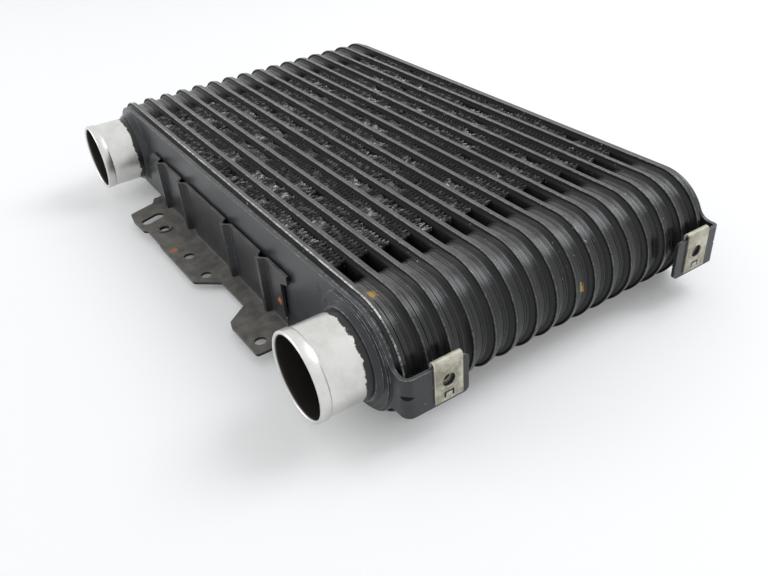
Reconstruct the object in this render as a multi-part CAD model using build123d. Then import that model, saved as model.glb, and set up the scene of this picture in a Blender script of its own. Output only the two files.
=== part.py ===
from build123d import *
import math
import os

# Air-to-air intercooler of the drawn-cup kind, in millimetres, standing on its underside.
# Sixteen flat tubes stand side by side along Y, with corrugated fins between them. Each tube is a
# pressed pan closed by a lid, and its rim stands proud of its faces as a narrow ridge. Drawn cups at
# both ends of the plates meet halfway between the tubes and form two header ducts, which end in two
# hose pipes on the -Y side.

# ---- Driving dimensions: core ----
core_length = 385.6          # over the round ends of the tubes, along X
core_height = 65.0           # across the tubes, along Z
tube_count = 16
tube_thickness = 5.6         # pan and lid together
tube_gap = 7.8               # air space between two tubes
plate_sheet = 1.1            # floors of pans, and lids; the ridge is what is left between them
face_inset = 2.5             # a tube's faces lie this far inside its ridge
end_flats = 6                # flats that stand for each round end of a pressed plate
hidden_end_flats = 4         # the same for the ducts and the hollows of the tubes

# ---- Driving dimensions: drawn cups ----
cup_inset = 2.8              # from the tube's outline in to the foot of the cup
cup_draft = 0.5              # how much the cup narrows up to its seam
cup_wall = 1.6               # from the foot of the cup in to the duct
cup_reach = 24.3             # from the header's axis to the cup's straight side, towards the core
cup_corner = 10.0            # bevelled corners on that side

# ---- Driving dimensions: fins and turbulators ----
fin_end_clearance = 7.8      # from the cups to the ends of the fins
fin_inset = 2.5              # below the ridges, top and bottom
fin_sheet = 0.5
fin_folds = 12
turbulator_sheet = 0.4
turbulator_folds = 3
turbulator_side_clearance = 1.2

# ---- Driving dimensions: end and side plates ----
end_plate_sheet = 1.5
side_plate_sheet = 2.0

# ---- Driving dimensions: pipes and their seats ----
port_setback = 1.8           # the pipes stand this much nearer to the core than the header's axis
port_rise = 0.9              # and this much higher
pipe_radius = 23.1
pipe_wall = 1.7
pipe_reach = 32.6            # from the side plate to the mouth
band_radius = 23.7           # swollen band behind the mouth
band_length = 5.6
collar_lip_radius = 24.6     # drawn collar round each pipe, flared towards its foot
collar_foot_radius = 26.6
collar_reach = 4.5           # from the side plate to the collar's lip
pad_radius = 33.0            # raised ground round the inlet
pad_height = 1.3
pad_inset = 1.6              # inside the side plate's outline

# ---- Driving dimensions: arms and tabs at the +X end ----
tab_standoff = 7.4           # from the tubes' round ends to the tabs' outer face
tab_drop = 14.3              # from the headers' axis down to the tab's lower edge
tab_rise = 8.6               # and up to its upper edge
near_tab_length = 35.8       # from the side plate's face to the tab's free end
far_tab_length = 33.8
near_bend_radius = 5.0       # outside of the bend
far_bend_radius = 3.5
tab_corner = 3.0
arm_top_fillet = 8.5
arm_low_fillet = 3.0
tab_hole_radius = 4.3
dart_depth = 1.2             # stiffening dart pressed across the bend
dart_width = 5.0
dart_drop = 2.0              # below the headers' axis

# ---- Driving dimensions: clip nuts ----
clip_sheet = 1.0
clip_width = 16.2
clip_drop = 12.3             # from the headers' axis down to the ends of the legs
clip_play = 1.3              # between the tab's upper edge and the fold's straight sides
near_clip_setback = 12.2     # from the tab's free end to the middle of the nut
far_clip_setback = 15.3
clip_hole_radius = 3.7
clip_hole_drop = 0.8
thread_radius = 2.5          # core radius of the M6 thread
barrel_radius = 4.0
barrel_length = 4.0
lance_width = 6.0
lance_height = 4.0
lance_slot = 1.3
lance_drop = 6.2             # from the hole's centre to the top of the lance

# ---- Driving dimensions: mounting bracket ----
bracket_sheet = 1.8
bracket_gap = 1.0            # from the side plate to the bracket's back
bracket_left = -131.0
bracket_top_left = -114.0
bracket_right = 94.5
bracket_front_foot = 85.4
bracket_top = 43.5
bracket_left_low = 11.0
bracket_left_high = 33.0
notch_high = 38.0
notch_low = 34.5
flange_top = 6.0             # upper face of the flange's middle stretch
flange_step = 2.0            # the two end pads lie this much higher
left_step = (-52.0, -46.0)   # where the ramps between the levels begin and end
right_step = (65.0, 72.0)
flange_bend = 4.0            # outside radius of the bend between wall and flange
bend_flats = 2               # flats that stand for it
flange_left = -116.0
flange_right = 101.0
flange_reach = 32.4          # past the flange's furthest corner
flange_corners = (           # x, and reach from the wall: round the free edge from left root to right root
    (-116.0, 6.2),
    (-109.0, 9.9),
    (-102.8, 28.4),
    (-91.0, 30.0),
    (-73.0, 29.2),
    (-70.0, 26.9),
    (8.0, 25.4),
    (20.0, 11.4),
    (51.0, 10.9),
    (61.5, 24.4),
    (69.5, 26.6),
    (100.8, 26.2),
    (100.8, 17.9),
    (93.5, 3.9),
)
flange_tip = 15.0            # corners further out than this are rounded
flange_corner = 2.0
wall_corner = 8.0
rib_centres = (-95.5, -55.0, 17.0, 65.5)
rib_foot = 11.6              # width at the wall
rib_nose = 3.2               # and at its front
rib_reach = 5.3              # from the bracket's back
rib_hollow_foot = 8.9        # the hollow behind a rib
rib_hollow_nose = 2.3
weld_pad_centres = (-73.0, -16.0, 45.5)
weld_pad_size = (24.0, 14.0)
weld_pad_corner = 4.0
weld_pad_z = 26.0
bolt_hole_radius = 3.5
bolt_holes = ((-23.3, 15.6), (5.4, 15.6), (90.9, 19.1))     # x, and reach from the wall
collar_hole = (-65.4, 16.5)
collar_radius = 5.2
collar_height = 0.8
slot_hole = ((-84.0, 22.4), (-87.4, 13.3))
slot_radius = 4.0

# ---- Worked-out places ----
pitch = tube_thickness + tube_gap
stack_half = (tube_count * pitch - tube_gap) / 2
end_radius = core_height / 2
header_x = core_length / 2 - end_radius
axis_z = core_height / 2
cup_depth = tube_gap / 2
ridge_width = tube_thickness - 2 * plate_sheet
fin_half_length = header_x - cup_reach - fin_end_clearance
side_radius = end_radius - face_inset
end_plate_face = stack_half + end_plate_sheet
side_face = end_plate_face + side_plate_sheet
port_x = header_x - port_setback
port_z = axis_z + port_rise
mouth_y = -(side_face + pipe_reach)
tab_face = core_length / 2 + tab_standoff
tab_low = axis_z - tab_drop
tab_high = axis_z + tab_rise
clip_low = axis_z - clip_drop
clip_hole_z = axis_z - clip_hole_drop
bracket_back = -(side_face + bracket_gap)
bracket_front = bracket_back - bracket_sheet
wall_foot = flange_top + flange_step + flange_bend
low_x = -core_length / 2
high_x = tab_face + clip_sheet
near_clip_y = near_tab_length - side_face - near_clip_setback
far_clip_y = side_face - far_tab_length + far_clip_setback

# The part's origin is under the middle of the whole box.
to_part_frame = Location((-(low_x + high_x) / 2, -(mouth_y + side_face) / 2, 0))


def save(solid, name):
    """Write one piece, moved into the part's frame."""
    export_step(to_part_frame * solid, f"parts/{name}.step")


def upright(sketch, y):
    """A sketch drawn in X and Z, set up at one Y; extruding it by a positive length goes towards -Y."""
    return Plane.XZ.offset(-y) * sketch


# ---- Pressed plates of the tubes ----
def end_arc(radius, flats):
    """Corners of the +X round end, from its top to its bottom, round the header's axis."""
    turns = [math.pi * step / flats for step in range(flats + 1)]
    return [(header_x + radius * math.sin(turn), axis_z + radius * math.cos(turn)) for turn in turns]


def tube_outline(inset, flats=end_flats):
    """A tube's outline: straight top and bottom between two round ends."""
    right = end_arc(end_radius - inset, flats)
    left = [(-x, 2 * axis_z - z) for x, z in right]
    return make_face(Polyline(right + left, close=True))


def cup_outline(inset, flats=end_flats):
    """The +X cup's outline: round towards the tube's end, square with bevelled corners to the core."""
    radius = end_radius - cup_inset - inset
    side = header_x - cup_reach + inset
    corner = cup_corner
    inner = [
        (side + corner, axis_z - radius),
        (side, axis_z - radius + corner),
        (side, axis_z + radius - corner),
        (side + corner, axis_z + radius),
    ]
    return make_face(Polyline(end_arc(radius, flats) + inner, close=True))


def both_ends(shape):
    """A shape at the +X header together with its mirror image at the other header."""
    return shape + mirror(shape, about=Plane.YZ)


def face_with_slope(ridge_side, face):
    """The sheet between a tube's ridge and its face, its edge sloping from the one to the other."""
    return loft([upright(tube_outline(0), ridge_side), upright(tube_outline(face_inset), face)], ruled=True)


def cup_body(foot_y, seam_y):
    """A cup as a solid frustum from its foot on the plate to its seam."""
    return loft([upright(cup_outline(0), foot_y), upright(cup_outline(cup_draft), seam_y)], ruled=True)


def duct(low_y, high_y):
    """The straight duct through the cups, over one stretch of Y."""
    return extrude(upright(cup_outline(cup_wall, hidden_end_flats), high_y), high_y - low_y)


def tube_pan(with_cups):
    """The tray of a tube, its floor towards -Y. Without cups it still opens into the header ducts."""
    floor, rim = -tube_thickness / 2, ridge_width / 2
    seam = floor - cup_depth
    pan = extrude(upright(tube_outline(0), rim), ridge_width) + face_with_slope(-rim, floor)
    hollow = tube_outline(face_inset + plate_sheet, hidden_end_flats)
    pan -= extrude(upright(hollow, rim), ridge_width)
    if with_cups:
        pan += both_ends(cup_body(floor, seam))
    return pan - both_ends(duct(seam, -rim))


def tube_lid(with_cups):
    """The flat plate that closes a pan, on its +Y side. The last lid closes the ducts too."""
    rim, face = ridge_width / 2, tube_thickness / 2
    seam = face + cup_depth
    lid = face_with_slope(rim, face)
    if not with_cups:
        return lid
    return lid + both_ends(cup_body(face, seam)) - both_ends(duct(rim, seam))


# ---- Corrugated strips ----
def corrugation(length, height, sheet, folds):
    """A zigzag strip seen from its end, centred on the origin, with its crests on both faces."""
    step = length / folds
    upper = []
    for fold in range(folds + 1):
        crest = height / 2 if fold % 2 else -height / 2 + sheet
        upper.append((fold * step - length / 2, crest))
    lower = [(x, crest - sheet) for x, crest in reversed(upper)]
    return make_face(Polyline(upper + lower, close=True))


def outer_fin():
    """One fin strip, its folds standing along Z in the space between two tubes."""
    profile = corrugation(2 * fin_half_length, tube_gap, fin_sheet, fin_folds)
    return Pos(0, 0, fin_inset) * extrude(profile, core_height - 2 * fin_inset)


def turbulator():
    """The strip inside a tube, its folds running along X so that the charge air passes through."""
    width = core_height - 2 * (face_inset + plate_sheet + turbulator_side_clearance)
    profile = corrugation(width, ridge_width, turbulator_sheet, turbulator_folds)
    across = Plane(origin=(-fin_half_length, 0, axis_z), x_dir=(0, 0, 1), z_dir=(1, 0, 0))
    return extrude(across * profile, 2 * fin_half_length)


# ---- End and side plates ----
def side_outline(radius):
    """Outline of the end and side plates: an elongated round."""
    return Pos(0, axis_z) * SlotOverall(2 * (header_x + radius), 2 * radius)


def port_circle(radius):
    """Circles of one radius round both pipes' axes."""
    return both_ends(Pos(port_x, port_z) * Circle(radius))


def near_end_plate():
    plate = extrude(upright(side_outline(side_radius), -stack_half), end_plate_sheet)
    return plate - extrude(upright(port_circle(pipe_radius), -stack_half), end_plate_sheet)


def far_end_plate():
    return extrude(upright(side_outline(side_radius), end_plate_face), end_plate_sheet)


def tab_blank(bend_radius):
    """The side plate's outline with the arm that carries the tab, top corner and foot rounded in."""
    flat_end = tab_face - bend_radius
    strip_middle = (header_x + flat_end) / 2
    strip = Pos(strip_middle, (tab_low + tab_high) / 2) * Rectangle(flat_end - header_x, tab_high - tab_low)
    blank = side_outline(side_radius) + strip
    roots = [v for v in blank.vertices() if header_x + 1 < v.X < flat_end - 1]
    top = max(roots, key=lambda v: v.Y)
    foot = min(roots, key=lambda v: v.Y)
    blank = fillet(top, arm_top_fillet)
    return fillet(blank.vertices().sort_by_distance(foot)[0], arm_low_fillet)


def tab_section(tab_length, bend_radius):
    """The bend and the tab seen from above, as one bent strip of sheet."""
    bend_centre = Pos(tab_face - bend_radius, bend_radius - side_face)
    bend = bend_centre * (Circle(bend_radius) - Circle(bend_radius - side_plate_sheet))
    quarter = bend_centre * Rectangle(bend_radius, bend_radius, align=(Align.MIN, Align.MAX))
    leg = Rectangle(side_plate_sheet, tab_length - bend_radius, align=(Align.MAX, Align.MIN))
    return (bend & quarter) + Pos(tab_face, bend_radius - side_face) * leg


def bend_dart(bend_radius):
    """The wedge that is pressed across the outside of the bend to stiffen it."""
    tip = bend_radius - dart_depth
    edge = dart_width * math.sqrt(0.5)
    wedge = Rot(0, 45, 0) * Box(edge, 4 * bend_radius, edge)
    bend_centre = Pos(tab_face - bend_radius, bend_radius - side_face, axis_z - dart_drop)
    return bend_centre * Rot(0, 0, -45) * Pos(tip + dart_width / 2, 0, 0) * wedge


def side_plate(tab_length, bend_radius, clip_y):
    """A side plate on the -Y side, with its arm and the tab bent round the end of the core."""
    plate = extrude(upright(tab_blank(bend_radius), -end_plate_face), side_plate_sheet)
    tab = Pos(0, 0, tab_low) * extrude(tab_section(tab_length, bend_radius), tab_high - tab_low)
    tab = fillet(tab.edges().filter_by(Axis.X).group_by(Axis.Y)[-1], tab_corner)
    bolt = Plane(origin=(tab_face, clip_y, clip_hole_z), z_dir=(-1, 0, 0)) * Circle(tab_hole_radius)
    return plate + tab - extrude(bolt, side_plate_sheet) - bend_dart(bend_radius)


def turned(section, x, z):
    """A ring round an axis along Y, turned from corners given as radius and Y."""
    return Pos(x, 0, z) * revolve(Plane.XY * make_face(Polyline(section, close=True)), Axis.Y)


def drawn_collar():
    """The collar that is drawn out of the side plate round the +X pipe, still without its bore."""
    foot = -side_face
    lip = foot - collar_reach
    section = [(0, foot), (collar_foot_radius, foot), (collar_lip_radius, lip), (0, lip)]
    return turned(section, port_x, port_z)


def near_side_plate():
    """The side plate on the pipes' side, with its drawn collars, raised ground and weld pads."""
    plate = side_plate(near_tab_length, near_bend_radius, near_clip_y)
    ground = Pos(header_x, axis_z) * Circle(pad_radius) & side_outline(side_radius - pad_inset)
    plate += extrude(upright(ground, -side_face), pad_height)
    for x in weld_pad_centres:
        pad = Pos(x, weld_pad_z) * chamfer(Rectangle(*weld_pad_size).vertices(), weld_pad_corner)
        plate += extrude(upright(pad, -side_face), bracket_gap)
    plate += both_ends(drawn_collar())
    bores = upright(port_circle(pipe_radius), -end_plate_face)
    return plate - extrude(bores, side_plate_sheet + collar_reach)


def far_side_plate():
    return mirror(side_plate(far_tab_length, far_bend_radius, -far_clip_y), about=Plane.XZ)


# ---- Pipes ----
def inlet_pipe():
    """The hose pipe at +X, from its seat in the end plate out to the swollen band at its mouth."""
    bore = pipe_radius - pipe_wall
    band = mouth_y + band_length
    section = [
        (bore, -stack_half),
        (pipe_radius, -stack_half),
        (pipe_radius, band),
        (band_radius, band),
        (band_radius, mouth_y),
        (bore, mouth_y),
    ]
    return turned(section, port_x, port_z)


def outlet_pipe():
    return mirror(inlet_pipe(), about=Plane.YZ)


# ---- Mounting bracket ----
def bend_points(centre_y, centre_z, radius):
    """The bend's corners in Y and Z, from the flange up to the wall, as flats round a centre."""
    turns = [math.pi / 2 * step / bend_flats for step in range(bend_flats + 1)]
    return [(centre_y + radius * math.sin(turn), centre_z - radius * math.cos(turn)) for turn in turns]


def bracket_section(lift):
    """Cross-section of flange, bend and foot of the wall, in Y and Z, for a flange raised by lift."""
    top = flange_top + lift
    inner = flange_bend - bracket_sheet
    free_edge = bracket_front - flange_reach
    upper = bend_points(bracket_front - inner, top + inner, inner)
    lower = bend_points(bracket_front - inner, top + inner, flange_bend)
    corners = [
        (free_edge, top),
        *upper,
        (bracket_front, wall_foot),
        (bracket_back, wall_foot),
        *reversed(lower),
        (free_edge, top - bracket_sheet),
    ]
    return Plane.YZ * make_face(Polyline(corners, close=True))


def bracket_foot():
    """The joggled flange with its bend: three level stretches joined by two ramps, cut to outline."""
    level, raised = bracket_section(0), bracket_section(flange_step)
    foot = Pos(flange_left, 0, 0) * extrude(raised, left_step[0] - flange_left)
    foot += loft([Pos(left_step[0], 0, 0) * raised, Pos(left_step[1], 0, 0) * level], ruled=True)
    foot += Pos(left_step[1], 0, 0) * extrude(level, right_step[0] - left_step[1])
    foot += loft([Pos(right_step[0], 0, 0) * level, Pos(right_step[1], 0, 0) * raised], ruled=True)
    foot += Pos(right_step[1], 0, 0) * extrude(raised, flange_right - right_step[1])
    back = [(bracket_front_foot, bracket_back), (flange_left, bracket_back)]
    edge = [(x, bracket_front - reach) for x, reach in flange_corners]
    outline = make_face(Polyline(edge + back, close=True))
    tips = [v for v in outline.vertices() if v.Y < bracket_front - flange_tip]
    return foot & extrude(fillet(tips, flange_corner), wall_foot)


def rib_section(foot, nose, reach):
    """The ribs seen from above: a wedge with a blunt nose at each place, standing on the wall's back."""
    corners = [(-foot / 2, 0), (-nose / 2, -reach), (nose / 2, -reach), (foot / 2, 0)]
    wedge = make_face(Polyline(corners, close=True))
    return Sketch() + [Pos(x, bracket_back) * wedge for x in rib_centres]


def bracket_wall():
    """The upright wall: a sheet with pressed ribs, cut to the wall's outline, and the ribs' hollows."""
    width = bracket_right - bracket_left
    middle = (bracket_right + bracket_left) / 2
    sheet = Pos(middle, bracket_back) * Rectangle(width, bracket_sheet, align=(Align.CENTER, Align.MAX))
    ribs = rib_section(rib_foot, rib_nose, rib_reach)
    hollows = rib_section(rib_hollow_foot, rib_hollow_nose, rib_reach - bracket_sheet)
    corners = Polyline(
        (bracket_left, bracket_left_low),
        (bracket_left, bracket_left_high),
        (bracket_top_left, bracket_top),
        (bracket_right, bracket_top),
        (bracket_right, notch_high),
        (bracket_front_foot, notch_low),
        (bracket_front_foot, wall_foot),
        (flange_left, wall_foot),
        close=True,
    )
    face = make_face(corners)
    face = fillet([v for v in face.vertices() if v.X < bracket_top_left + 1], wall_corner)
    trim = extrude(upright(face, bracket_back), bracket_sheet + rib_reach)
    wall = extrude(sheet + ribs, bracket_top) & trim
    rib_feet = Pos(0, 0, flange_top) * extrude(ribs, wall_foot - flange_top)
    inside = Pos(0, 0, flange_top + flange_step) * extrude(hollows, bracket_top)
    return wall + rib_feet, inside


def mounting_bracket():
    """The pressed bracket that is welded to the near side plate, with its bolt holes."""
    wall, rib_insides = bracket_wall()
    bracket = bracket_foot() + wall - rib_insides
    raised_top = flange_top + flange_step
    collar = Cylinder(collar_radius, collar_height, align=(Align.CENTER, Align.CENTER, Align.MIN))
    bracket += Pos(collar_hole[0], bracket_front - collar_hole[1], raised_top) * collar
    holes = Sketch()
    for x, reach in (*bolt_holes, collar_hole):
        holes += Pos(x, bracket_front - reach) * Circle(bolt_hole_radius)
    start, end = [Vector(x, bracket_front - reach) for x, reach in slot_hole]
    run = end - start
    slot = SlotCenterToCenter(run.length, 2 * slot_radius, rotation=math.degrees(math.atan2(run.Y, run.X)))
    holes += Pos(*((start + end) / 2)) * slot
    return bracket - extrude(holes, raised_top + collar_height)


# ---- Clip nuts ----
def clip_nut(clip_y):
    """A spring nut pushed over the top of a tab: two legs joined by a fold, the rear one threaded."""
    width = Plane.XZ.offset(-clip_y - clip_width / 2)
    tab_middle = tab_face - side_plate_sheet / 2
    fold_radius = side_plate_sheet / 2 + clip_sheet
    fold = Circle(fold_radius) - Circle(fold_radius - clip_sheet)
    fold &= Rectangle(2 * fold_radius, fold_radius, align=(Align.CENTER, Align.MIN))
    leg_top = tab_high + clip_play
    profile = Pos(tab_middle, leg_top) * fold
    leg = Rectangle(clip_sheet, leg_top - clip_low, align=(Align.MIN, Align.MAX))
    profile += Pos(tab_face, leg_top) * leg
    profile += Pos(tab_middle - fold_radius, leg_top) * leg
    nut = extrude(width * profile, clip_width)

    across = Plane(origin=(tab_face, clip_y, clip_hole_z), x_dir=(0, 1, 0), z_dir=(-1, 0, 0))
    nut += across.offset(side_plate_sheet + clip_sheet) * extrude(Circle(barrel_radius), barrel_length)
    nut -= extrude(across * Circle(thread_radius), side_plate_sheet + clip_sheet + barrel_length)
    front = across.offset(-clip_sheet)
    nut -= extrude(front * Circle(clip_hole_radius), clip_sheet)
    lance = Rectangle(lance_width, lance_height) - Pos(0, lance_slot) * Rectangle(
        lance_width - 2 * lance_slot, lance_height
    )
    return nut - extrude(front * (Pos(0, lance_drop + lance_height / 2) * lance), clip_sheet)


# ---- The pieces, written one by one ----
os.makedirs("parts", exist_ok=True)

first_pan, pan = tube_pan(with_cups=False), tube_pan(with_cups=True)
lid, last_lid = tube_lid(with_cups=True), tube_lid(with_cups=False)
fin = outer_fin()
strips = []
for tube in range(1, tube_count + 1):
    tube_y = (tube - (tube_count + 1) / 2) * pitch
    beside = Pos(0, tube_y, 0)
    save(beside * (first_pan if tube == 1 else pan), f"tube_pan_{tube:02d}")
    save(beside * (last_lid if tube == tube_count else lid), f"tube_lid_{tube:02d}")
    strips.append(beside * turbulator())
    if tube < tube_count:
        save(Pos(0, tube_y + pitch / 2, 0) * fin, f"outer_fin_{tube:02d}")
save(Compound(strips), "turbulators")

save(near_end_plate(), "near_end_plate")
save(far_end_plate(), "far_end_plate")
save(near_side_plate(), "near_side_plate")
save(far_side_plate(), "far_side_plate")
save(inlet_pipe(), "inlet_pipe")
save(outlet_pipe(), "outlet_pipe")
save(mounting_bracket(), "mounting_bracket")
save(clip_nut(near_clip_y), "clip_nut_near")
save(clip_nut(far_clip_y), "clip_nut_far")
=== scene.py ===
import math
import random

import bmesh
import bpy
from mathutils import Matrix, Vector, noise


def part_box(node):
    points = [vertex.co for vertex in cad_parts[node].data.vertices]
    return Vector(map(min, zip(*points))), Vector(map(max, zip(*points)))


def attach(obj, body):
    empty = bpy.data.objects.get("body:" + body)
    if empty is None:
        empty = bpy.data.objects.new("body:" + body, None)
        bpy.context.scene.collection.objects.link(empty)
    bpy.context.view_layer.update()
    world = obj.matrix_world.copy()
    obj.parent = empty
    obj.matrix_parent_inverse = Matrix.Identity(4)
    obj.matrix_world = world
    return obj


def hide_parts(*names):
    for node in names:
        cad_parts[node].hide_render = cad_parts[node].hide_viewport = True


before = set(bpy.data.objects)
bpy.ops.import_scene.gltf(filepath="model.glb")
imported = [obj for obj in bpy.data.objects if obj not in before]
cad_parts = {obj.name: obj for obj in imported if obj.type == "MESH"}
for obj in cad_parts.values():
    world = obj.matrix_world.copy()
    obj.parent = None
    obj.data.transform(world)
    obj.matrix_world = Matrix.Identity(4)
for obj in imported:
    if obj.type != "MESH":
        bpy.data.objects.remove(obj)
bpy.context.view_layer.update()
MM = 0.001

# ------------------------------------------------------------------ tube pans
# Every flat tube starts as a shallow pan pressed from aluminium sheet, with a round-ended cup drawn
# out of its floor at both ends. The pan's rim is rolled over into a narrow ridge that stands proud of
# the tube all round. The stack is brazed in one go, painted black, and its ridges are rubbed and dusty.
tube_count = sum(name.startswith("tube_pan_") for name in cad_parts)
core_low, core_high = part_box("tube_pan_08")
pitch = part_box("tube_pan_09")[0].y - core_low.y
stack_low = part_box("tube_pan_01")[0].y
stack_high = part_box(f"tube_lid_{tube_count:02d}")[1].y
middle_x = (core_low.x + core_high.x) / 2
end_radius = core_high.z / 2
axis_z = end_radius
header_reach = (core_high.x - core_low.x) / 2 - end_radius
tube_thickness = stack_high - stack_low - (tube_count - 1) * pitch
first_tube_y = stack_low + tube_thickness / 2
core_middle = Vector((middle_x, (stack_low + stack_high) / 2, 0))

round_steps = 36             # facets of each round end
corner_steps = 8             # facets of each corner of a cup
seam = 1e-6                  # points nearer than this are one point
cup_radius = end_radius - 2.8 * MM
cup_core_reach = 24.3 * MM   # from the header's axis to the cup's side towards the core
cup_corner_radius = 15 * MM
past_cup = 27 * MM           # where the plain run between the cups begins


def chain_of(bm, points):
    """A row of points joined by edges, ready to be swept or turned."""
    verts = [bm.verts.new(point) for point in points]
    return verts + [bm.edges.new(pair) for pair in zip(verts, verts[1:])]


def sweep(bm, profile, path):
    """Carries a chain of points round a closed path of turns and runs."""
    chain = chain_of(bm, profile)
    for angle, centre, run, steps in path:
        made = bmesh.ops.spin(
            bm, geom=chain, cent=centre, axis=(0, 1, 0), dvec=run, angle=angle, steps=steps
        )
        chain = made["geom_last"]
    bmesh.ops.remove_doubles(bm, verts=bm.verts, dist=seam)


def tube_path():
    """Once round a tube's outline, from the top of the +X end."""
    right = (middle_x + header_reach, 0, axis_z)
    left = (middle_x - header_reach, 0, axis_z)
    between_cups = 2 * (header_reach - past_cup)
    return [
        (math.pi, right, (0, 0, 0), round_steps),
        (0, right, (-past_cup, 0, 0), 1),
        (0, right, (-between_cups, 0, 0), 1),
        (0, right, (-past_cup, 0, 0), 1),
        (math.pi, left, (0, 0, 0), round_steps),
        (0, left, (past_cup, 0, 0), 1),
        (0, left, (between_cups, 0, 0), 1),
        (0, left, (past_cup, 0, 0), 1),
    ]


def cup_path():
    """Once round the +X cup's outline, which is squarer on the side towards the core."""
    axis_x = middle_x + header_reach
    side = cup_core_reach - cup_corner_radius
    rise = cup_radius - cup_corner_radius
    low = (axis_x - side, 0, axis_z - rise)
    high = (axis_x - side, 0, axis_z + rise)
    return [
        (math.pi, (axis_x, 0, axis_z), (0, 0, 0), round_steps),
        (0, low, (-side, 0, 0), 1),
        (math.pi / 2, low, (0, 0, 0), corner_steps),
        (0, low, (0, 0, 2 * rise), 1),
        (math.pi / 2, high, (0, 0, 0), corner_steps),
        (0, high, (side, 0, 0), 1),
    ]


def at_top(inset, y, radius=end_radius):
    """A point of a swept profile, in millimetres, where it starts at the top of the +X end."""
    return (middle_x + header_reach, y * MM, axis_z + radius - inset * MM)


# The cup's wall in section, in millimetres: how far it has drawn in from its foot, and how far it
# stands out of its plate. A fine groove and a narrow lip run round it just before the seam.
cup_section = [
    (-0.6, -0.15), (-0.2, 0.1), (0.0, 0.5), (0.02, 1.1), (0.05, 1.65), (0.07, 2.3), (0.1, 2.9),
    (0.35, 3.02), (0.38, 3.12), (0.08, 3.25),
    (0.1, 3.7), (0.3, 3.9), (1.6, 3.9), (1.6, 1.0), (1.6, -1.0),
]
# A plate that meets the end plate has only a plain duct opening in the same place.
opening_section = [(1.6, 0.0), (1.6, -1.0)]


def add_cups(bm, section, face_y, outward):
    """Forms both cups, or plain openings, in a plate's face; outward is the direction along Y."""
    cup = bmesh.new()
    points = [at_top(inset, face_y + outward * height, cup_radius) for inset, height in section]
    sweep(cup, points, cup_path())
    mesh = bpy.data.meshes.new("cup")
    cup.to_mesh(mesh)
    cup.free()
    bm.from_mesh(mesh)
    mesh.transform(Matrix.Translation((2 * middle_x, 0, 0)) @ Matrix.Scale(-1, 4, (1, 0, 0)))
    bm.from_mesh(mesh)
    bpy.data.meshes.remove(mesh)


def fill_flat_face(bm, y):
    """Closes a plate's flat face at one Y, between its edge and the feet of its cups."""
    near = 0.2 * MM
    rim = [e for e in bm.edges if e.is_boundary and all(abs(v.co.y - y * MM) < near for v in e.verts)]
    bmesh.ops.triangle_fill(bm, use_beauty=True, use_dissolve=False, edges=rim)


def from_outline(point):
    """How far a point lies inside the tube's outline."""
    beyond = max(0, abs(point.x - middle_x) - header_reach)
    return end_radius - math.hypot(beyond, point.z - axis_z)


# The pan's edge in section, in millimetres: inset from the outline, and place across the tube. From
# its face it rises to a crevice under a rolled lip, and behind the lip the ridge lies a little lower.
lip_low, lip_high = -1.72, -0.8
pan_edge = [
    (3.4, -2.8), (2.95, -2.74), (2.65, -2.55), (2.5, -2.25), (1.9, -1.85), (1.3, -1.35), (0.95, -1.25),
    (0.8, -1.55), (0.5, -1.72), (0.2, -1.7), (0.02, -1.5), (0.0, -0.9), (0.1, -0.76), (0.38, -0.7),
    (0.38, 1.1), (0.45, 1.45), (0.75, 1.66), (1.1, 1.7), (3.2, 1.7),
]
pan_face = -2.8

# Where a plate is rubbed and where painted shade lies, measured from the header's axis and the tube's
# outline.
front_stretch = 31 * MM      # the top front of the ridge is rubbed from here towards the +X end,
front_height = 28 * MM       # this far above the axis and higher
end_begins = 8 * MM          # the round ends are rubbed less, from here outwards
cup_margin = 1 * MM          # the painted shade is fainter beside a cup, from this far past the run between the cups
lip_depth = 0.3              # in millimetres, like the sections: the lip's own face,
ground_depth = 0.7           # the ground that lies under it,
crevice_depth = 1.4          # the crevice behind it,
flank = 1.7                  # and the painted shade's reach up the cup beside it
# Painted shade: near-black on the ground behind the lip, fainter beside a cup and on the cup's flank.
ground_shade, cup_shade, flank_shade = 1, 0.35, 0.65


def plate_mesh(
    name, edge_section, flat_faces, cups, face_y, outward, lip_wear=0.45, end_wear=0.15, front_wear=0.3
):
    """A pressed plate: its edge swept round the outline, its cups, and its flat faces."""
    bm = bmesh.new()
    sweep(bm, [at_top(inset, y) for inset, y in edge_section], tube_path())
    if cups:
        add_cups(bm, cups, face_y, outward)
    for y in flat_faces:
        fill_flat_face(bm, y)
    bmesh.ops.remove_doubles(bm, verts=bm.verts, dist=seam)
    bmesh.ops.recalc_face_normals(bm, faces=bm.faces)
    rub = bm.verts.layers.float.new("rub")
    hollow = bm.verts.layers.float.new("hollow")
    for v in bm.verts:
        inset, across = from_outline(v.co) / MM, v.co.y / MM
        past_axis = abs(v.co.x - middle_x) - header_reach
        if inset < lip_depth and lip_low - 0.05 < across < lip_high + 0.05:
            at_front = v.co.x > middle_x + header_reach - front_stretch and v.co.z > axis_z + front_height
            v[rub] = front_wear if at_front else end_wear if past_axis > end_begins else lip_wear
        # Marks painted shade in the crevice, on the ground behind the lip and up the cup's flank.
        if inset > ground_depth and abs(across) < abs(pan_face) + 0.3:
            under_lip = inset < crevice_depth and across < 0
            beside_cup = past_axis > cup_margin - past_cup and not under_lip
            v[hollow] = cup_shade if beside_cup else ground_shade
        elif pan_face - flank < across < pan_face:
            v[hollow] = flank_shade
    mesh = bpy.data.meshes.new(name)
    bm.to_mesh(mesh)
    bm.free()
    mesh.shade_smooth()
    mesh.set_sharp_from_angle(angle=math.radians(38))
    return mesh


def place_plate(mesh, name, tube):
    """One plate of one tube, set beside its neighbours."""
    piece = bpy.data.objects.new(name, mesh.copy())
    bpy.context.scene.collection.objects.link(piece)
    piece.data.transform(Matrix.Translation((0, first_tube_y + (tube - 1) * pitch, 0)))
    piece.data.materials.append(tube_paint)
    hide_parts(name.replace("pressed", "tube"))
    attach(piece, "root")


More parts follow.
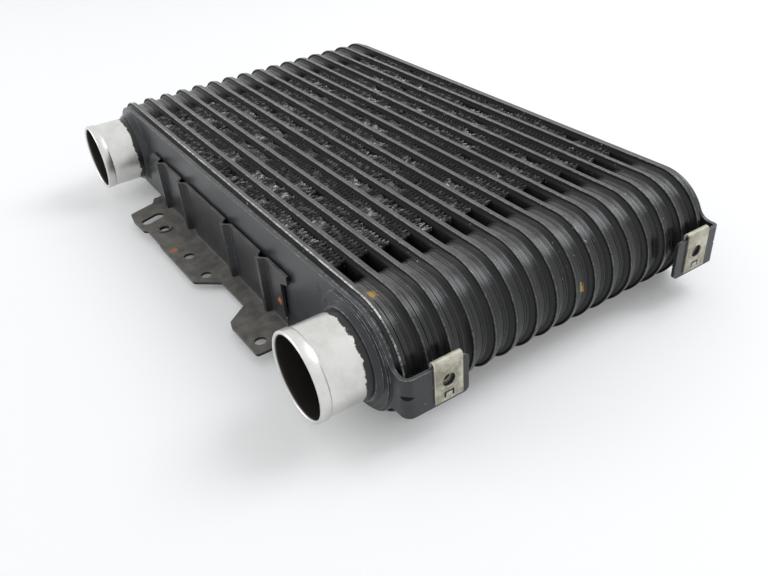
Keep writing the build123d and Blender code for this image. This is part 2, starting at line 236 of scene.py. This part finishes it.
class Wiring:
    """Adds texture and maths nodes to one node tree and joins them up."""

    def __init__(self, tree):
        self.new, self.link = tree.nodes.new, tree.links.new
        self.place = self.new("ShaderNodeTexCoord").outputs["Object"]

    def feed(self, socket, value):
        """Links a socket to a value that changes over the surface, or sets it to one that doesn't."""
        if isinstance(value, bpy.types.NodeSocket):
            self.link(value, socket)
        else:
            socket.default_value = (*value, 1) if isinstance(value, tuple) else value

    def noise(self, scale, detail, roughness=0.6, vector=None):
        texture = self.new("ShaderNodeTexNoise")
        texture.inputs["Scale"].default_value = scale
        texture.inputs["Detail"].default_value = detail
        texture.inputs["Roughness"].default_value = roughness
        self.link(self.place if vector is None else vector, texture.inputs["Vector"])
        return texture.outputs["Fac"]

    def band(self, value, low, high, at_low=0, at_high=1, smooth=True):
        """Goes from one value to another while the given value goes from low to high."""
        step = self.new("ShaderNodeMapRange")
        step.interpolation_type = "SMOOTHSTEP" if smooth else "LINEAR"
        for label, number in (("From Min", low), ("From Max", high), ("To Min", at_low), ("To Max", at_high)):
            step.inputs[label].default_value = number
        self.link(value, step.inputs["Value"])
        return step.outputs["Result"]

    def maths(self, operation, *values, clamp=True):
        node = self.new("ShaderNodeMath")
        node.operation = operation
        node.use_clamp = clamp
        for socket, value in zip(node.inputs, values):
            self.feed(socket, value)
        return node.outputs["Value"]

    def mixed(self, amount, first, second):
        mix = self.new("ShaderNodeMix")
        mix.data_type = "RGBA"
        for label, value in (("Factor", amount), ("A", first), ("B", second)):
            self.feed(mix.inputs[label], value)
        return mix.outputs["Result"]

    def attribute(self, name):
        node = self.new("ShaderNodeAttribute")
        node.attribute_name = name
        return node.outputs["Fac"]

    def part(self, vector, axis):
        """One coordinate of a vector."""
        split = self.new("ShaderNodeSeparateXYZ")
        self.link(vector, split.inputs["Vector"])
        return split.outputs[axis]


def paint_wear_and_shade_group():
    """Black paint over metal, with dust, drawn streaks, painted shade in hollows, rubbed edges and chips."""
    group = bpy.data.node_groups.new("paint_wear_and_shade", "ShaderNodeTree")
    add = group.interface.new_socket
    for label in ("Paint", "Dust", "Rubbed"):
        add(name=label, in_out="INPUT", socket_type="NodeSocketColor")
    for label in ("Dust amount", "Mottle", "Streaks", "Edge wear", "Chips", "Gloss"):
        add(name=label, in_out="INPUT", socket_type="NodeSocketFloat")
    add(name="Color", in_out="OUTPUT", socket_type="NodeSocketColor")
    for label in ("Roughness", "Metallic", "Height"):
        add(name=label, in_out="OUTPUT", socket_type="NodeSocketFloat")
    given = group.nodes.new("NodeGroupInput").outputs
    made = group.nodes.new("NodeGroupOutput").inputs
    wire = Wiring(group)
    noise_at, band, maths = wire.noise, wire.band, wire.maths

    # Dust settles on what faces up, and clouds of it cling anywhere; streaks follow the tubes.
    normal = wire.new("ShaderNodeNewGeometry").outputs["Normal"]
    upward = band(wire.part(normal, "Z"), 0.86, 1.0)
    patches = maths("MULTIPLY_ADD", band(noise_at(110, 7, 0.7), 0.3, 0.7), 0.6, 0.4)
    dust = maths("MULTIPLY", maths("MULTIPLY", upward, patches), given["Dust amount"])
    clouds = maths("MULTIPLY", band(noise_at(70, 8, 0.75), 0.4, 0.65), given["Mottle"])
    drawn_out = wire.new("ShaderNodeMapping")
    drawn_out.inputs["Scale"].default_value = (0.025, 1, 0.025)
    wire.link(wire.place, drawn_out.inputs["Vector"])
    drawn = noise_at(1300, 4, vector=drawn_out.outputs["Vector"])
    streaks = maths("MULTIPLY", band(drawn, 0.42, 0.62), given["Streaks"])
    dirty = maths("MAXIMUM", dust, maths("MAXIMUM", clouds, streaks))

    # Edges are rubbed and nicked, most where their mark is above 1; small chips lie in swarms.
    hollow, edge = wire.attribute("hollow"), wire.attribute("rub")
    rub = maths("MULTIPLY", edge, band(noise_at(1100, 3, 0.7), 0.36, 0.56))
    rub = maths("MULTIPLY", rub, given["Edge wear"])
    specks = maths("MULTIPLY", band(noise_at(420, 3, 0.7), 0.68, 0.71), band(noise_at(30, 3), 0.42, 0.6))
    nicks = maths("MULTIPLY", band(noise_at(260, 4, 0.7), 0.52, 0.56), band(noise_at(18, 2), 0.36, 0.5))
    heavier = maths("MULTIPLY", maths("SUBTRACT", edge, 1.0), band(noise_at(330, 4, 0.7), 0.5, 0.54))
    nicks = maths("MAXIMUM", maths("MULTIPLY", edge, nicks), heavier)
    chips = maths("MULTIPLY", maths("MAXIMUM", specks, nicks), given["Chips"])

    colour = wire.mixed(dirty, given["Paint"], given["Dust"])
    # Painted shade darkens the marked hollows and crevices towards near-black.
    colour = wire.mixed(maths("MULTIPLY", hollow, 0.85), colour, (0.004, 0.004, 0.004))
    wire.link(wire.mixed(maths("MAXIMUM", rub, chips), colour, given["Rubbed"]), made["Color"])
    dull = maths("MAXIMUM", maths("MULTIPLY", dirty, 0.5), hollow)
    wire.link(maths("MULTIPLY_ADD", dull, 0.6, given["Gloss"]), made["Roughness"])
    wire.link(maths("MULTIPLY", chips, 0.3), made["Metallic"])
    wire.link(maths("MULTIPLY_ADD", streaks, 1.5, noise_at(900, 3)), made["Height"])
    return group


paint_wear_and_shade = paint_wear_and_shade_group()


def raised(material, height, strength, depth):
    """Makes a height that changes over the surface catch the light."""
    nodes, link = material.node_tree.nodes, material.node_tree.links.new
    bump = nodes.new("ShaderNodeBump")
    bump.inputs["Strength"].default_value = strength
    bump.inputs["Distance"].default_value = depth
    link(height, bump.inputs["Height"])
    link(bump.outputs["Normal"], nodes["Principled BSDF"].inputs["Normal"])


def painted(
    name, paint, dust, rubbed, dust_amount, edge_wear, chips, gloss, mottle=0.0, streaks=0.0, texture=0.08,
    shine=0.5, metallic=None,
):
    """A material of the worn black paint, with painted shade where a piece marks it, or of a plating, with
    its own colours and amounts.
    """
    material = bpy.data.materials.new(name)
    material.use_nodes = True
    nodes, link = material.node_tree.nodes, material.node_tree.links.new
    surface = nodes["Principled BSDF"].inputs
    surface["Specular IOR Level"].default_value = shine
    wear = nodes.new("ShaderNodeGroup")
    wear.node_tree = paint_wear_and_shade
    for label, value in (
        ("Paint", paint), ("Dust", dust), ("Rubbed", rubbed), ("Gloss", gloss), ("Dust amount", dust_amount),
        ("Mottle", mottle), ("Streaks", streaks), ("Edge wear", edge_wear), ("Chips", chips),
    ):
        wear.inputs[label].default_value = (*value, 1) if isinstance(value, tuple) else value
    link(wear.outputs["Color"], surface["Base Color"])
    link(wear.outputs["Roughness"], surface["Roughness"])
    if metallic is None:
        link(wear.outputs["Metallic"], surface["Metallic"])
    else:
        surface["Metallic"].default_value = metallic
    raised(material, wear.outputs["Height"], texture, 0.4 * MM)
    return material


def stain_and_shade_patch(material, place, radius, colour):
    """A ragged patch of another colour at one place of a painted piece, given in millimetres. It makes the
    real stains, and the near-black painted shadows of the slits.
    """
    wire = Wiring(material.node_tree)
    base = material.node_tree.nodes["Principled BSDF"].inputs["Base Color"]
    under = base.links[0].from_socket
    away = wire.new("ShaderNodeVectorMath")
    away.operation = "DISTANCE"
    wire.link(wire.place, away.inputs[0])
    away.inputs[1].default_value = Vector(place) * MM
    reach = radius * MM
    # Noise of a half, its middle, puts the patch's edge at about two thirds of its radius.
    ragged = wire.maths(
        "MULTIPLY_ADD", wire.noise(500, 4, 0.5), 2.4 * reach, away.outputs["Value"], clamp=False
    )
    mask = wire.band(ragged, 2.1 * reach, 1.7 * reach, smooth=False)
    wire.link(wire.mixed(mask, under, colour), base)


tube_paint = painted(
    "black_tube_paint", paint=(0.011, 0.012, 0.013), dust=(0.18, 0.177, 0.168), rubbed=(0.65, 0.65, 0.64),
    dust_amount=0.6, edge_wear=0.45, chips=0.85, gloss=0.22, mottle=0.05, streaks=0.1, texture=0.15,
    shine=0.36,
)
yellow_primer = (0.42, 0.26, 0.07)
stain_and_shade_patch(tube_paint, (155.7, -80.0, 62.2), 3.8, yellow_primer)
stain_and_shade_patch(tube_paint, (185.9, 27.0, 34.5), 3.6, yellow_primer)
first_pan = plate_mesh(
    "first_pan", pan_edge, [pan_face], opening_section, pan_face, -1,
    lip_wear=0.7, end_wear=0.7, front_wear=1.8,
)
other_pan = plate_mesh("pan", pan_edge, [pan_face], cup_section, pan_face, -1)
for tube in range(1, tube_count + 1):
    place_plate(first_pan if tube == 1 else other_pan, f"pressed_pan_{tube:02d}", tube)

# ------------------------------------------------------------------ tube lids
# A lid closes each pan behind the ridge and slopes from it to the tube's other face. It carries the
# same cups towards the next tube; the last lid is plain and ends the ducts.
lid_face = 2.8
lid_edge = [
    (2.0, 1.4), (1.15, 1.5), (1.1, 1.72), (1.7, 1.95), (2.3, 2.25), (2.6, 2.55), (2.9, 2.74), (3.4, 2.8),
]
other_lid = plate_mesh("lid", lid_edge, [lid_face], cup_section, lid_face, 1)
last_lid = plate_mesh("last_lid", lid_edge, [lid_face], None, lid_face, 1)
for tube in range(1, tube_count + 1):
    place_plate(last_lid if tube == tube_count else other_lid, f"pressed_lid_{tube:02d}", tube)

# ------------------------------------------------------------------ outer fins
# Between the tubes stand strips of thin corrugated aluminium, folded to and fro with crests brazed
# to both neighbours. Stones and cleaning have bent their edges over in places and knocked off paint.
fin_low, fin_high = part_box("outer_fin_01")
fold_pitch = 3.2 * MM
steps_per_fold = 6
fin_thickness = 0.2 * MM
fin_height = fin_high.z - fin_low.z
fin_rows = [0, 1.2, 2.6, 4.5, 8, 30, 52, 55.5, 57.4, 58.8, 60]     # shares of the fin's height
top_row = len(fin_rows) - 1
worn_rows = 2                # rows at the top whose crests are rubbed
crest_flatness = 1.5         # how much of each fold's wave is cut off flat where it meets a tube
crushed_depth = 5 * MM       # how far down the bent places reach
crushed_lean = 2.2 * MM      # how far a bent fold leans over,
crushed_drop = 1.3 * MM      # how far it is pushed down,
crushed_squeeze = 0.25       # and how much narrower it gets
wobble_reach = 0.35 * MM     # no fold is quite straight


def fin_mesh(number):
    """One corrugated strip with its own bent and crushed places."""
    dice = random.Random(100 + number)
    length = fin_high.x - fin_low.x
    columns = round(length / fold_pitch) * steps_per_fold
    half_depth = (fin_high.y - fin_low.y) / 2 - fin_thickness / 2
    centre_y = (fin_high.y + fin_low.y) / 2 + (number - 1) * pitch
    bm = bmesh.new()
    bmesh.ops.create_grid(bm, x_segments=columns, y_segments=top_row, size=1)
    dents = [
        (dice.uniform(0, length), dice.uniform(1.5, 10) * MM, dice.choice((-1, 1)) * dice.uniform(0.3, 1))
        for _ in range(dice.randint(7, 12))
    ]
    rub = bm.verts.layers.float.new("rub")
    for v in bm.verts:
        column = round((v.co.x + 1) / 2 * columns)
        row = round((v.co.y + 1) / 2 * top_row)
        along = column / columns * length
        height = fin_rows[row] / fin_rows[-1] * fin_height
        wave = max(-1, min(1, crest_flatness * math.sin(column / steps_per_fold * 2 * math.pi)))
        drop, lean, squeeze, crushed = 0, 0, 1, 0
        for place, width, push in dents:
            reach = abs(along - place) / width
            from_edge = fin_height - height
            if reach < 1 and from_edge < crushed_depth:
                strength = (1 - reach * reach) * (1 - from_edge / crushed_depth)
                lean += push * crushed_lean * strength
                drop += abs(push) * crushed_drop * strength
                squeeze -= crushed_squeeze * strength
                crushed = max(crushed, abs(push) * strength)
        worn_crest = row > top_row - worn_rows and abs(wave) > 0.99
        v[rub] = min(1, 1.3 * crushed + 0.2 * (row == top_row) + 0.35 * worn_crest)
        wobble = noise.noise(Vector((along * 300, number * 7.1, height * 120))) * wobble_reach
        v.co = (
            fin_low.x + along + lean + wobble,
            centre_y + wave * half_depth * max(0.3, squeeze),
            fin_low.z + height - drop,
        )
    mesh = bpy.data.meshes.new(f"fin_{number:02d}")
    bm.to_mesh(mesh)
    bm.free()
    return mesh


# Its black and dust are darker than the tubes', which partly paints the shade deep between the tubes.
fin_paint = painted(
    "black_fin_paint", paint=(0.0075, 0.007, 0.0062), dust=(0.11, 0.1, 0.086), rubbed=(0.88, 0.89, 0.88),
    dust_amount=0.35, edge_wear=0.32, chips=1.0, gloss=0.45, shine=0.25,
)
for number in range(1, tube_count):
    piece = bpy.data.objects.new(f"corrugated_fin_{number:02d}", fin_mesh(number))
    bpy.context.scene.collection.objects.link(piece)
    wall = piece.modifiers.new("sheet", "SOLIDIFY")
    wall.thickness = fin_thickness
    wall.offset = 0
    piece.data.materials.append(fin_paint)
    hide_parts(f"outer_fin_{number:02d}")
    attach(piece, "root")

# ------------------------------------------------------------------ end plates and side plates
# Plain end plates close the stack. Outside them lie two thicker side plates, whose tabs are bent
# round the end of the core. They are cut and pressed from sheet, so their edges are a little rounded.
sheet_rounding = 0.35 * MM
dark_reach = 4.6 * MM        # size of the darts pressed across the bends of the tabs, and of the painted shade in them


def softened(node_name, name, width, material, dark_place=None, bare_from=None):
    """A solid's own mesh with its sharp edges rounded off and marked as rubbed.

    Painted shade fills it near-black round dark_place, in the dimple of a dart, and its upper edges are worn
    to the metal where x is past bare_from.
    """
    bm = bmesh.new()
    bm.from_mesh(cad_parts[node_name].data)
    bmesh.ops.remove_doubles(bm, verts=bm.verts, dist=seam)
    bmesh.ops.dissolve_limit(bm, angle_limit=math.radians(1), verts=bm.verts, edges=bm.edges)
    sharp = [e for e in bm.edges if len(e.link_faces) == 2 and e.calc_face_angle() > math.radians(35)]
    rub = bm.faces.layers.float.new("rub")
    rounded = bmesh.ops.bevel(
        bm, geom=sharp, offset=width, offset_type="OFFSET", segments=2, profile=0.5, affect="EDGES",
        clamp_overlap=True, material=-1,
    )
    for face in rounded["faces"]:
        worn_bare = bare_from and face.calc_center_median().x > bare_from and face.normal.z > 0.4
        face[rub] = 2 if worn_bare else 1
    hollow = bm.faces.layers.float.new("hollow")
    # The dart's dimple is painted near-black as shade and kept unrubbed.
    if dark_place:
        for face in bm.faces:
            if all((v.co - dark_place).length < dark_reach for v in face.verts):
                face[rub], face[hollow] = 0, 1
    mesh = bpy.data.meshes.new(name)
    bm.to_mesh(mesh)
    bm.free()
    mesh.shade_smooth()
    mesh.set_sharp_from_angle(angle=math.radians(50))
    piece = bpy.data.objects.new(name, mesh)
    bpy.context.scene.collection.objects.link(piece)
    smooth = piece.modifiers.new("even shading", "WEIGHTED_NORMAL")
    smooth.keep_sharp = True
    piece.data.materials.append(material)
    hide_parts(node_name)
    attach(piece, "root")


# Its black is lighter and bluer than the tubes' paint, which partly paints the bluish light the side plates
# reflect from the floor.
plate_paint = painted(
    "black_plate_paint", paint=(0.03, 0.034, 0.039), dust=(0.14, 0.137, 0.13), rubbed=(0.6, 0.6, 0.59),
    dust_amount=0.5, edge_wear=0.16, chips=0.5, gloss=0.28, mottle=0.12, shine=0.36,
)
# Near-black painted shadows of the small slits beside the front pipe's collar.
painted_slit_shadows = ((122.7, -90.5, 55.0), (123.4, -90.5, 53.4), (124.3, -90.5, 51.9), (131.7, -91.8, 50.4))
for place in painted_slit_shadows:
    stain_and_shade_patch(plate_paint, place, 1.5, (0.004, 0.004, 0.004))
collar_lip_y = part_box("near_side_plate")[0].y
collar_reach = 4.5 * MM      # from the near side plate out to the lips of the pipes' collars
near_tab, far_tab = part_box("near_side_plate")[1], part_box("far_side_plate")[1]
dart_z = axis_z - 2 * MM
near_dart = Vector((near_tab.x - 1.5 * MM, collar_lip_y + collar_reach + 1.5 * MM, dart_z))
far_dart = Vector((far_tab.x - 1.0 * MM, far_tab.y - 1.0 * MM, dart_z))
for name, dart, bare_from in (
    ("near_end_plate", None, middle_x + 129 * MM), ("far_end_plate", None, None),
    ("near_side_plate", near_dart, middle_x + 170 * MM), ("far_side_plate", far_dart, None),
):
    softened(name, f"pressed_{name}", sheet_rounding, plate_paint, dart, bare_from)

# ------------------------------------------------------------------ mounting bracket
# A pressed steel bracket is spot-welded to the near side plate. Its flange has two raised pads with
# bolt holes, its wall has stiffening ribs, and rust has started at a few scratches.
bracket_paint = painted(
    "black_bracket_paint", paint=(0.017, 0.018, 0.02), dust=(0.25, 0.232, 0.205), rubbed=(0.35, 0.35, 0.35),
    dust_amount=0.75, edge_wear=0.35, chips=0.4, gloss=0.3, mottle=0.06, shine=0.35,
)
rust = (0.48, 0.17, 0.055)
stain_and_shade_patch(bracket_paint, (-41.0, -114.5, 6.0), 3.3, rust)
stain_and_shade_patch(bracket_paint, (77.0, -93.3, 21.0), 3.0, rust)
softened("mounting_bracket", "pressed_bracket", sheet_rounding, bracket_paint)

# ------------------------------------------------------------------ pipes
# The two hose pipes are short lengths of aluminium tube, pushed through the collars, brazed inside
# and expanded to a shallow band behind the mouth. They were masked when the core was painted.
pipe_low, pipe_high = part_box("inlet_pipe")
pipe_axis = ((pipe_low.x + pipe_high.x) / 2, 0, (pipe_low.z + pipe_high.z) / 2)
band_radius = (pipe_high.x - pipe_low.x) / 2
band_rise = 0.6 * MM
band_length = 5.6 * MM
pipe_wall = 1.7 * MM
pipe_radius = band_radius - band_rise
bore_radius = pipe_radius - pipe_wall
mouth_y = pipe_low.y
band_y = mouth_y + band_length
pipe_steps = 96              # facets round a pipe
soot_begins = 1 * MM         # the bore is sooty from here inwards
paint_overlap = 0.6 * MM     # the black paint runs this far over the pipe's root, give or take
paint_raggedness = 9 * MM


def pipe_mesh():
    """The +X pipe, turned from its section in radius and Y."""
    section = [
        (bore_radius, pipe_high.y),
        (pipe_radius, pipe_high.y),
        (pipe_radius, band_y + 0.9 * MM),
        (pipe_radius - 0.2 * MM, band_y + 0.6 * MM),
        (pipe_radius - 0.1 * MM, band_y + 0.25 * MM),
        (band_radius - 0.15 * MM, band_y - 0.05 * MM),
        (band_radius, band_y - 0.5 * MM),
        (band_radius, mouth_y + 0.9 * MM),
        (band_radius - 0.15 * MM, mouth_y + 0.4 * MM),
        (band_radius - 0.55 * MM, mouth_y + 0.08 * MM),
        (band_radius - 1.0 * MM, mouth_y),
        (bore_radius + 0.75 * MM, mouth_y + 0.05 * MM),
        (bore_radius + 0.3 * MM, mouth_y + 0.4 * MM),
        (bore_radius + 0.1 * MM, mouth_y + 1.2 * MM),
        (bore_radius, mouth_y + 3 * MM),
        (bore_radius, pipe_high.y),
    ]
    bm = bmesh.new()
    chain = chain_of(bm, [(pipe_axis[0] + radius, y, pipe_axis[2]) for radius, y in section])
    bmesh.ops.spin(
        bm, geom=chain, cent=pipe_axis, axis=(0, 1, 0), angle=2 * math.pi, steps=pipe_steps, use_merge=True
    )
    bmesh.ops.remove_doubles(bm, verts=bm.verts, dist=seam)
    bmesh.ops.recalc_face_normals(bm, faces=bm.faces)
    inside = bm.verts.layers.float.new("inside")
    for v in bm.verts:
        from_axis = math.hypot(v.co.x - pipe_axis[0], v.co.z - pipe_axis[2])
        v[inside] = from_axis < bore_radius + 0.2 * MM and v.co.y > mouth_y + soot_begins
    mesh = bpy.data.meshes.new("hose_pipe")
    bm.to_mesh(mesh)
    bm.free()
    mesh.shade_smooth()
    mesh.set_sharp_from_angle(angle=math.radians(50))
    return mesh


def bare_aluminium():
    """Satin aluminium, clouded, sooty inside, with a ragged edge of black paint at the collar."""
    material = bpy.data.materials.new("bare_aluminium")
    material.use_nodes = True
    surface = material.node_tree.nodes["Principled BSDF"].inputs
    wire = Wiring(material.node_tree)
    ragged = wire.maths(
        "MULTIPLY_ADD", wire.noise(110, 8, 0.75), paint_raggedness, wire.part(wire.place, "Y"), clamp=False
    )
    edge_y = collar_lip_y + paint_overlap
    black = wire.band(ragged, edge_y, edge_y + 0.3 * MM, smooth=False)
    clouds = wire.noise(75, 9, 0.7)
    inside = wire.attribute("inside")
    metal = wire.mixed(wire.band(clouds, 0.32, 0.58, smooth=False), (0.6, 0.6, 0.575), (0.72, 0.72, 0.7))
    outside = wire.mixed(black, metal, (0.012, 0.012, 0.013))
    soot = wire.mixed(clouds, (0.008, 0.008, 0.008), (0.03, 0.026, 0.021))
    wire.link(wire.mixed(inside, outside, soot), surface["Base Color"])
    wire.link(wire.maths("SUBTRACT", 0.9, wire.maths("MAXIMUM", black, inside)), surface["Metallic"])
    wire.link(wire.band(clouds, 0, 1, 0.26, 0.42, smooth=False), surface["Roughness"])
    raised(material, black, 0.25, 0.3 * MM)
    return material


bare_metal = bare_aluminium()
for name, mirrored in (("inlet_pipe", False), ("outlet_pipe", True)):
    mesh = pipe_mesh()
    if mirrored:
        mesh.transform(Matrix.Translation((2 * middle_x, 0, 0)) @ Matrix.Scale(-1, 4, (1, 0, 0)))
        mesh.flip_normals()
    piece = bpy.data.objects.new(f"hose_{name}", mesh)
    bpy.context.scene.collection.objects.link(piece)
    piece.data.materials.append(bare_metal)
    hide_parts(name)
    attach(piece, "root")

# ------------------------------------------------------------------ clip nuts
# Folded spring-steel nuts are pushed over the tabs. Their dull yellowish zinc is scuffed pale where
# a screw's head and the fold rub.
zinc = painted(
    "dull_zinc", paint=(0.27, 0.25, 0.185), dust=(0.66, 0.64, 0.54), rubbed=(0.78, 0.77, 0.72),
    dust_amount=0.5, edge_wear=0.9, chips=0.8, gloss=0.38, mottle=0.9, metallic=0.35,
)
nut_rounding = 0.2 * MM
for name in ("clip_nut_near", "clip_nut_far"):
    softened(name, f"folded_{name}", nut_rounding, zinc)

# ------------------------------------------------------------------ floor, light and camera
# A plain pale floor carries the soft shadow. An even surround and two large soft lamps light the part,
# and both backdrops are lifted to white only for the camera and for what shows them by reflection.
bpy.ops.mesh.primitive_plane_add(size=8, location=(0, 0, 0))
floor = bpy.context.object
floor.name = "floor"
floor_paint = bpy.data.materials.new("pale_floor")
floor_paint.use_nodes = True
floor_lift = 0.14            # brings the floor up to white where it is seen
surround_light = 0.65        # what the surround sheds on the part,
surround_lift = 0.35         # and what brings it up to white where it is seen
surface = floor_paint.node_tree.nodes["Principled BSDF"]
surface.inputs["Base Color"].default_value = (0.86, 0.865, 0.87, 1)
surface.inputs["Roughness"].default_value = 0.7
surface.inputs["Emission Color"].default_value = (1, 1, 1, 1)


def where_seen(tree, base, extra, socket):
    """Adds brightness to a backdrop only where the camera, a reflection or clear matter shows it."""
    path = tree.nodes.new("ShaderNodeLightPath").outputs
    seen = path["Is Camera Ray"]
    for other in ("Is Glossy Ray", "Is Transmission Ray"):
        either = tree.nodes.new("ShaderNodeMath")
        either.operation = "MAXIMUM"
        tree.links.new(seen, either.inputs[0])
        tree.links.new(path[other], either.inputs[1])
        seen = either.outputs["Value"]
    lifted = tree.nodes.new("ShaderNodeMath")
    lifted.operation = "MULTIPLY_ADD"
    tree.links.new(seen, lifted.inputs[0])
    lifted.inputs[1].default_value = extra
    lifted.inputs[2].default_value = base
    tree.links.new(lifted.outputs["Value"], socket)


where_seen(floor_paint.node_tree, 0, floor_lift, surface.inputs["Emission Strength"])
floor.data.materials.append(floor_paint)

world = bpy.data.worlds.new("surround")
bpy.context.scene.world = world
world.use_nodes = True
backdrop = world.node_tree.nodes["Background"].inputs
backdrop["Color"].default_value = (1, 1, 1, 1)
where_seen(world.node_tree, surround_light, surround_lift, backdrop["Strength"])

for name, place, size, energy in (
    ("overhead_lamp", (0.3, 0.95, 1.15), 0.8, 9.5),
    ("left_lamp", (-0.9, -1.3, 0.55), 0.9, 7.5),
):
    lamp_data = bpy.data.lights.new(name, "AREA")
    lamp_data.shape = "SQUARE"
    lamp_data.size = size
    lamp_data.energy = energy
    lamp_data.color = (0.94, 0.97, 1.0)
    lamp = bpy.data.objects.new(name, lamp_data)
    bpy.context.scene.collection.objects.link(lamp)
    lamp.location = place
    lamp.rotation_euler = (-lamp.location).to_track_quat("-Z", "Y").to_euler()

focal_pixels = 763.0
image_width = 768
camera_data = bpy.data.cameras.new("camera")
camera_data.sensor_width = 36
camera_data.lens = focal_pixels * camera_data.sensor_width / image_width
camera_data.clip_start = 0.01
camera = bpy.data.objects.new("camera", camera_data)
bpy.context.scene.collection.objects.link(camera)
yaw, pitch_down, roll = 1.027147, 0.601366, -0.081092
look = Vector((
    -math.sin(yaw) * math.cos(pitch_down), math.cos(yaw) * math.cos(pitch_down), -math.sin(pitch_down)
))
level = look.cross(Vector((0, 0, 1))).normalized()
above = level.cross(look)
side = level * math.cos(roll) + above * math.sin(roll)
up = -level * math.sin(roll) + above * math.cos(roll)
turn = Matrix((side, up, -look)).transposed()
stand = Vector((410.842, -240.558, 263.843)) * MM + core_middle
camera.matrix_world = Matrix.Translation(stand) @ turn.to_4x4()
bpy.context.scene.camera = camera
bpy.context.scene.view_settings.view_transform = "Standard"
